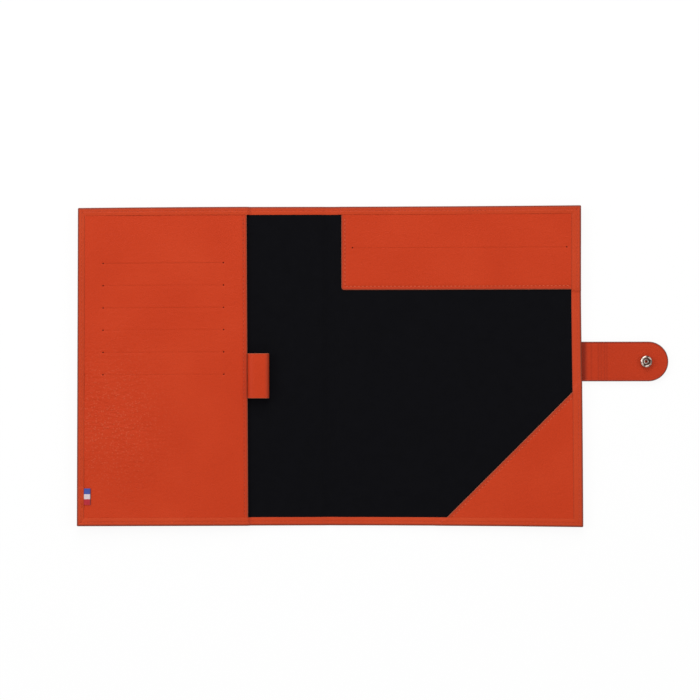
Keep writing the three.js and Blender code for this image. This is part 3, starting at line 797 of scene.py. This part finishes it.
def pen_loop():
    """A strip folded back on itself over the pen, its tails held under the card panel, with painted shade
    on its rounded end.
    """
    floor, tail = LINING_TOP, PEN_TAIL
    ceiling = floor + 2 * PEN_LEATHER + PEN_BORE
    outer = (ceiling - floor) / 2
    end_x = PANEL_EDGE_X + PEN_LOOP_REACH - outer
    crest = end_x - PEN_FLAT
    rise = float(card_lean(PANEL_EDGE_X, PEN_LOOP_Y - PEN_LOOP_HALF)) + 0.15
    tail_x = PANEL_EDGE_X - 8
    upper = floor + tail + SEAM_GAP

    def slope(top, low, foot):
        """The rounded way down from the crest, steep by the card panel."""
        return [(crest + (foot - crest) * math.sin(a) ** 0.8, low + (top - low) * math.cos(a) ** 0.6)
                for a in np.linspace(0, math.pi / 2, 17)]

    outside = [(tail_x, floor), (crest, floor)] + arc((end_x, floor + outer), outer, -90, 90, 19)
    outside += slope(ceiling, upper + tail, rise) + [(tail_x, upper + tail)]
    inside = [(tail_x, upper)] + slope(ceiling - PEN_LEATHER, upper, rise + PEN_LEATHER)[::-1]
    inside += arc((end_x, floor + outer), PEN_BORE / 2, 90, -90, 19)
    inside += [(crest, floor + PEN_LEATHER), (rise + 4, floor + tail), (tail_x, floor + tail)]
    ys = PEN_LOOP_Y + np.linspace(-PEN_LOOP_HALF, PEN_LOOP_HALF, 24)
    # Painted shade: the loop is darkened where its end turns down
    round_end_shade = [0.6 * float(smooth((x - end_x) / outer)) for x, _ in outside + inside]
    made = section_run("pen_loop_leather", outside + inside, ys, panel_finishes, rubbed=round_end_shade)
    round_rims(made, 0.28)
    belongs(made, "front_cover", "panel_leather", "pen_loop")


def round_rims(made, width):
    """Takes the sharpness off a cut strip's edges, where its second finish shows."""
    bevel = made.modifiers.new("worn_rims", "BEVEL")
    bevel.width = width * MM
    bevel.segments = 3
    bevel.limit_method = "ANGLE"
    bevel.angle_limit = math.radians(60)
    bevel.material = 1
    graph = bpy.context.evaluated_depsgraph_get()
    data = bpy.data.meshes.new_from_object(made.evaluated_get(graph))
    made.modifiers.clear()
    made.data = data


def ribbon_tab():
    """A short ribbon folded in two, its cut ends held under the hem."""
    foot = CARD_BASE + PANEL + SEAM_GAP
    hem_x = FORE_HEM[-1] - FORE_X
    tail, end = hem_x - RIBBON_TAIL, hem_x + RIBBON_SHOWN
    turn = RIBBON + RIBBON_SLACK
    middle = foot + turn
    top = foot + 2 * turn
    outside = [(tail, foot)] + arc((end - turn, middle), turn, -90, 90, 9)
    outside += [(end - 0.9, top), (tail, top)]
    inside = [(tail, middle + RIBBON_SLACK)] + arc((end - turn, middle), RIBBON_SLACK, 90, -90, 5)
    inside += [(tail, middle - RIBBON_SLACK)]
    ys = np.linspace(RIBBON_Y - RIBBON_HALF, RIBBON_Y + RIBBON_HALF, 15)
    # Painted shade along the folded end
    fold = [float(smooth((x - end + 0.9) / 0.7)) for x, _ in outside + inside]
    made = section_run("ribbon_loop", outside + inside, ys, [ribbon_weave], fold=fold)
    belongs(made, "front_cover", "woven_ribbon", "ribbon_tab")


# Strap

def strap_path(open_x, end_x, inset, radius):
    """The U from the middle of the bridge round one end of the strap and back, set in by inset."""
    way = 1 if end_x > open_x else -1
    r = max(radius - inset, 0)
    half = STRAP_HALF - inset
    end = end_x - way * (inset + r)
    along = open_x + (end - open_x) * np.linspace(0, 1, 64)
    head, foot = STRAP_Y + half, STRAP_Y - half
    path = [(x, head) for x in along]
    path += [(end + way * (x - end), y) for x, y in arc((end, head - r), r, 90, 0, 16)]
    path += [(end + way * r, y) for y in np.linspace(head - r, foot + r, 9)[1:-1]]
    path += [(end + way * (x - end), y) for x, y in arc((end, foot + r), r, 0, -90, 16)]
    return np.array(path + [(x, foot) for x in along[::-1]])


def strap_half(name, end_x, radius, bodies, bend, *nodes):
    """Half of the two-ply strap, from the middle of its bridge: painted edges, creases by its bend, and
    painted shade at its root and in its creases.
    """
    rings, painted, rubbed = [], [], []
    between_plies = (STRAP_TOP + STRAP_FLOOR) / 2

    def ring(inset, level, paint=0):
        path = strap_path(sum(STRAP_BENDS) / 2, end_x, inset, radius)
        z = level + np.zeros(len(path))
        if level > between_plies and not paint:
            wave = path[:, 0] + 0.5 * np.sin(path[:, 1] / 4)
            z = z + sum(dimple(wave - at, 0.6, depth) for at, depth in CREASES) * smooth((inset - 1.5) / 4)
        rings.append(np.column_stack([path, z]))
        painted.append(paint)
        # Painted shadow of the cover's edge across the strap's root, and painted shade in each crease
        root_shadow = np.exp(-((path[:, 0] - STRAP_BENDS[0] - 0.6) / 1.9) ** 2)
        shade_darkening = sum(0.3 * np.exp(-((path[:, 0] - at) / 0.6) ** 2) for at, _ in CREASES)
        rubbed.append(np.clip(np.maximum(root_shadow, 0.8 * smooth(1.5 - inset)) + shade_darkening, 0, 1))

    for inset in (STRAP_HALF, 11, 8, 5, 3, 2, 1.2, 0.8):
        ring(inset, STRAP_FLOOR)
    for angle in np.linspace(0, math.pi / 2, 6):
        ring(STRAP_ROUND * (1 - math.sin(angle)), STRAP_FLOOR + STRAP_ROUND * (1 - math.cos(angle)), 1)
    ring(0.06, between_plies, 1)
    for angle in np.linspace(0, math.pi / 2, 6):
        ring(STRAP_ROUND * (1 - math.cos(angle)), STRAP_TOP - STRAP_ROUND * (1 - math.sin(angle)), 1)
    for inset in (0.8, 1.1, 1.4, 1.7, 2, 2.3, 2.6, 3, 4, 5.5, 7, 9, 11, STRAP_HALF):
        ring(inset, STRAP_TOP - 0.16 * math.exp(-((inset - 1.8) / 0.45) ** 2))
    points, faces = loft(rings)
    count = len(rings[0])
    marks = [min(painted[face[0] // count], painted[face[2] // count]) for face in faces]
    made = piece(name, points, faces, [strap_leather, edge_paint], marks, lay,
                 rubbed=np.concatenate(rubbed))
    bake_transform(made)
    belongs(made, None, "strap_leather", *nodes)


def strap():
    """Both halves of the strap; on the folder, each bends once when it is shut."""
    strap_half("strap_root", STRAP_SEWN_X, 3.0, ("back_cover", "strap_bridge"), STRAP_BENDS[0],
               "strap_base_inner", "strap_base_outer", "strap_bridge_inner")
    strap_half("strap_end", STRAP_TIP_X, STRAP_HALF, ("strap_bridge", "strap_tip"), STRAP_BENDS[1],
               "strap_tip_inner", "strap_tip_outer", "strap_bridge_outer")


# Snap

def turned(name, profile, x, body, *nodes, well=0.0):
    """A turned piece about an upright line, its profile as (radius, level) points. Within the radius of its
    well it takes a darker nickel, as painted shade."""
    angles = np.linspace(0, 2 * math.pi, 72, endpoint=False)
    rings = [np.column_stack([x + r * np.cos(angles), STRAP_Y + r * np.sin(angles), np.full(72, z)])
             for r, z in profile]
    points, faces = loft(rings, closed=True)
    reach = np.hypot(points[:, 0] - x, points[:, 1] - STRAP_Y)
    marks = [int(reach[list(face)].max() < well) for face in faces]
    made = piece(name, points, faces, [nickel, nickel_shaded_well], marks, laid=lay)
    belongs(made, body, "nickel_plate", *nodes)


def snap():
    """The socket on the strap's inner face, its cap with the flared post, and the front cover's stud."""
    base = STRAP_TOP + SEAM_GAP
    top, floor = base + SOCKET_HIGH, base + SOCKET_FLOOR
    rim = (SOCKET_RADIUS - SOCKET_MOUTH) / 2
    socket = [(SOCKET_BORE, base)] + arc((SOCKET_RADIUS - 0.5, base + 0.5), 0.5, -90, 0)
    socket += arc((SOCKET_RADIUS - rim, top - rim), rim, 0, 180, 17)
    socket += [(SOCKET_MOUTH, 1.82), (3.2, 1.78), (3.2, 0.98), (2.8, 0.95), (2.8, floor)]
    socket += [(SOCKET_BORE, floor), (SOCKET_BORE, base)]
    turned("snap_socket_ring", socket, SNAP_X, "strap_tip", "snap_socket", well=SOCKET_MOUTH + 0.5)
    seat = STRAP_FLOOR - SEAM_GAP
    cap = [(CAP_RADIUS * math.sin(a), seat - 0.3 - CAP_DOME * math.cos(a))
           for a in np.linspace(0, math.pi / 2, 16)]
    flare = floor + SEAM_GAP
    cap += [(CAP_RADIUS, seat - 0.1), (6.1, seat), (1.35, seat), (1.35, flare), (1.9, flare)]
    cap += arc((1.75, flare + 0.2), 0.2, -45, 90, 5) + arc((1.15, flare + 0.05), 0.35, 90, 180, 6)
    cap += [(0.8, -1.0), (0, -1.0)]
    turned("snap_cap_dome", cap, SNAP_X, "strap_tip", "snap_cap", well=1.3)
    plate, tip = STUD_PLATE, STUD_PLATE - STUD_HIGH
    stud = [(0, tip), (1.4, tip)] + arc((1.6, tip + 0.55), 0.55, -90, 0)
    stud += [(2.15, tip + 0.75), (1.9, tip + 1.15), (1.85, plate - 0.2), (2.05, plate)]
    stud += arc((4.05, plate + 0.25), 0.25, -90, 0)
    stud += [(4.3, -0.05), (1.3, -0.05), (1.3, tip + 0.4), (0, tip + 0.4)]
    turned("snap_stud_post", stud, STUD_X, "front_cover", "snap_stud")


# Thread

# A stitch from hole to hole, as (share of its length, share of its width, how deep it lies, how dark it is,
# as painted shade at the holes)
PROFILE = ((-0.5, 0.25, 0.45, 1), (-0.44, 0.7, 0.16, 1), (-0.33, 0.95, -0.04, 0.6), (-0.18, 1, -0.12, 0),
           (0.18, 1, -0.12, 0), (0.33, 0.95, -0.04, 0.6), (0.44, 0.7, 0.16, 1), (0.5, 0.25, 0.45, 1))
SIDES = 6


def stitch_row(name, path, level, slot, body, side=None, under=False, laid=lay_cover,
               thread=hem_thread, thick=FINE_THREAD):
    """Thread along a line of (x, y) points. Each stitch dips into a hole at both ends, upwards if it lies
    under the leather. A side is given where the row runs over the fold."""
    path = np.asarray(path, float)
    run = np.concatenate([[0], np.cumsum(np.hypot(*np.diff(path, axis=0).T))])
    count = int(run[-1] // STITCH_PITCH)
    start = (run[-1] - (count - 1) * STITCH_PITCH) / 2
    sign = -1 if under else 1

    def at(s):
        return np.array([np.interp(s, run, path[:, 0]), np.interp(s, run, path[:, 1])])

    points, faces, dive = [], [], []
    for n in range(count):
        middle = start + n * STITCH_PITCH
        first = len(points)
        for offset, width, sink, dark in PROFILE:
            spot = at(middle + offset * STITCH_LENGTH)
            ahead = at(middle + 0.5) - at(middle - 0.5)
            across = np.array([-ahead[1], ahead[0]]) / max(np.hypot(*ahead), 1e-6)
            z = level(*spot) - sign * sink
            for k in range(SIDES):
                angle = 2 * math.pi * k / SIDES
                x, y = spot + across * math.cos(angle) * thick * width
                points.append((x, y, z + math.sin(angle) * thick * 0.8 * width))
                dive.append(dark)
        last = first + (len(PROFILE) - 1) * SIDES
        for ring in range(first, last, SIDES):
            faces += [(ring + k, ring + (k + 1) % SIDES, ring + (k + 1) % SIDES + SIDES, ring + k + SIDES)
                      for k in range(SIDES)]
        faces += [tuple(range(first, first + SIDES))[::-1], tuple(range(last, last + SIDES))]
    made = piece(name, points, faces, [thread], laid=laid, dive=dive)
    if side:
        at_fold(made)
    belongs(made, None if side else body, slot)


def stitches():
    """The inner and outer rows round each half, and those of the panel, the pockets and the strap."""
    for side, name, body in ((-1, "front", "front_cover"), (1, "back", "back_cover")):
        seam = hem_path(side, (HEM_SEAM,) * 3)
        stitch_row(name + "_hem_stitches", seam, lambda x, y: float(under_hem(x, y)) + HEM - SUNK_IN_HEM,
                   "cover_leather", body, side)
        stitch_row(name + "_outer_stitches", seam, lambda x, y: ABOVE_OUTSIDE, "cover_leather", body, side,
                   under=True)
    reach = HALF_HEIGHT - TOP_HEM - 1
    edge = PANEL_EDGE_X - PANEL_SEAM
    stitch_row("card_panel_stitches", [(card_lean(edge, y), y) for y in np.linspace(reach, -reach, 40)],
               lambda x, y: CARD_BASE + PANEL - SUNK_IN_CARD_PANEL, "panel_leather", "front_cover",
               thick=THREAD)
    left, foot = PAD_X + PANEL_SEAM, PAD_Y + PANEL_SEAM
    pocket_top = LINING_TOP + PANEL - SUNK_IN_POCKET
    fore = FORE_X - FORE_HEM[1]
    line, low = CORNER_LINE + PANEL_SEAM * math.sqrt(2), BOTTOM_HEM - HALF_HEIGHT
    rows = {"pad_pocket_stitches": [(left, reach), (left, foot), (fore, foot)],
            "corner_pocket_stitches": [(fore, fore - line), (low + line, low)]}
    for name, row in rows.items():
        stitch_row(name, row, lambda x, y: pocket_top, "panel_leather", "back_cover",
                   thread=panel_thread, thick=THREAD)
    first, last, half = STRAP_SEWN_X + STRAP_SEAM, STRAP_SEAM_END, STRAP_HALF - STRAP_SEAM
    box = [(first, STRAP_Y - half), (last, STRAP_Y - half), (last, STRAP_Y + half),
           (first, STRAP_Y + half), (first, STRAP_Y - half)]
    stitch_row("strap_stitches", box, lambda x, y: STRAP_FLOOR + ABOVE_STRAP_FLOOR, "strap_leather",
               "back_cover", under=True, laid=lay)


def plain_pieces():
    """The nodes that show as modelled, or lie hidden, each in its real finish."""
    finishes = {"front_board": board, "back_board": board, "stud_post": nickel, "snap_spring": nickel}
    for i in range(len(SLIT_GAPS)):
        finishes["card_pocket_%d" % (i + 1)] = pocket_cotton
    for name, made in finishes.items():
        node = frame["nodes"][name]
        node.data.materials.clear()
        node.data.materials.append(made)


# Studio

def seen(tree):
    """1 for rays that show the surroundings: from the camera, off metal and through glass."""
    rays = add(tree, "ShaderNodeLightPath")
    total = rays.outputs["Is Camera Ray"]
    for name in ("Is Glossy Ray", "Is Transmission Ray"):
        total = maths(tree, "MAXIMUM", total, rays.outputs[name])
    return total


# Each softbox as (name, place in metres, power in watts), all 1 m square and turned to the folder
SOFTBOXES = (("softbox_left", (-1.5, 0.3, 1.25), 12.5), ("softbox_right", (1.5, 0.15, 1.25), 9.3),
             ("softbox_head", (-0.1, 1.2, 1.0), 12.8), ("softbox_foot", (0.0, -1.6, 1.25), 5.6))
SOFTBOX_SIZE = 1.0
AIR_LIGHT = 0.3
WHITE = (1, 1, 1, 1)

# The table: how far it reaches in metres, its level in millimetres, and its share of even white
TABLE_REACH = 30.0
TABLE_LEVEL = -0.1
TABLE_GLOW = 0.9


def studio():
    """A white sweep under four softboxes, with an even white backdrop."""
    scene = bpy.context.scene
    scene.view_settings.view_transform = "Standard"
    world = bpy.data.worlds.new("studio_air")
    scene.world = world
    world.use_nodes = True
    tree = world.node_tree
    tree.nodes.clear()
    air = add(tree, "ShaderNodeBackground", values=[("Color", WHITE), ("Strength", AIR_LIGHT)])
    backdrop = add(tree, "ShaderNodeBackground", values=[("Color", WHITE), ("Strength", 1.0)])
    both = add(tree, "ShaderNodeMixShader",
               [(0, seen(tree)), (1, air.outputs[0]), (2, backdrop.outputs[0])])
    add(tree, "ShaderNodeOutputWorld", [("Surface", both.outputs[0])])
    for name, spot, energy in SOFTBOXES:
        data = bpy.data.lights.new(name, "AREA")
        data.energy = energy
        data.size = SOFTBOX_SIZE
        lamp = put(name, data)
        lamp.location = spot
        lamp.rotation_euler = (-Vector(spot)).to_track_quat("-Z", "Y").to_euler()
    data = bpy.data.meshes.new("table")
    corners = ((-1, -1), (1, -1), (1, 1), (-1, 1))
    data.from_pydata([(x * TABLE_REACH, y * TABLE_REACH, TABLE_LEVEL * MM) for x, y in corners], [],
                     [(0, 1, 2, 3)])
    paper, tree = finish("white_paper_table",
                         [("Base Color", WHITE), ("Roughness", 0.9), ("Specular IOR Level", 0.1)])
    matt = tree.nodes["Principled BSDF"].outputs[0]
    glow = add(tree, "ShaderNodeEmission", values=[("Color", WHITE), ("Strength", 1.0)])
    share = add(tree, "ShaderNodeMath", [(0, seen(tree))], [(1, TABLE_GLOW)], operation="MULTIPLY")
    both = add(tree, "ShaderNodeMixShader",
               [(0, share.outputs[0]), (1, matt), (2, glow.outputs[0])])
    tree.links.new(both.outputs[0], tree.nodes["Material Output"].inputs["Surface"])
    data.materials.append(paper)
    table = put("table", data)


def camera():
    """Straight above the open folder, as photographed: a long lens 1.5 m away, on a 36 mm sensor."""
    data = bpy.data.cameras.new("camera")
    data.sensor_width = 36
    data.lens = 105.37
    made = put("camera", data)
    made.location = (0.01465, 0.01175, 1.5)
    made.rotation_euler = (0, 0, math.radians(-0.073))
    bpy.context.scene.camera = made


cover_half(-1, "front_cover", "front_cover_leather", "spine_leather")
cover_half(1, "back_cover", "back_cover_leather")
lining_half(-1, "front_cover", "front_lining", "spine_lining")
lining_half(1, "back_cover", "back_lining")
card_panel()
pad_pocket()
corner_pocket()
pen_loop()
ribbon_tab()
strap()
snap()
stitches()
plain_pieces()
studio()
camera()
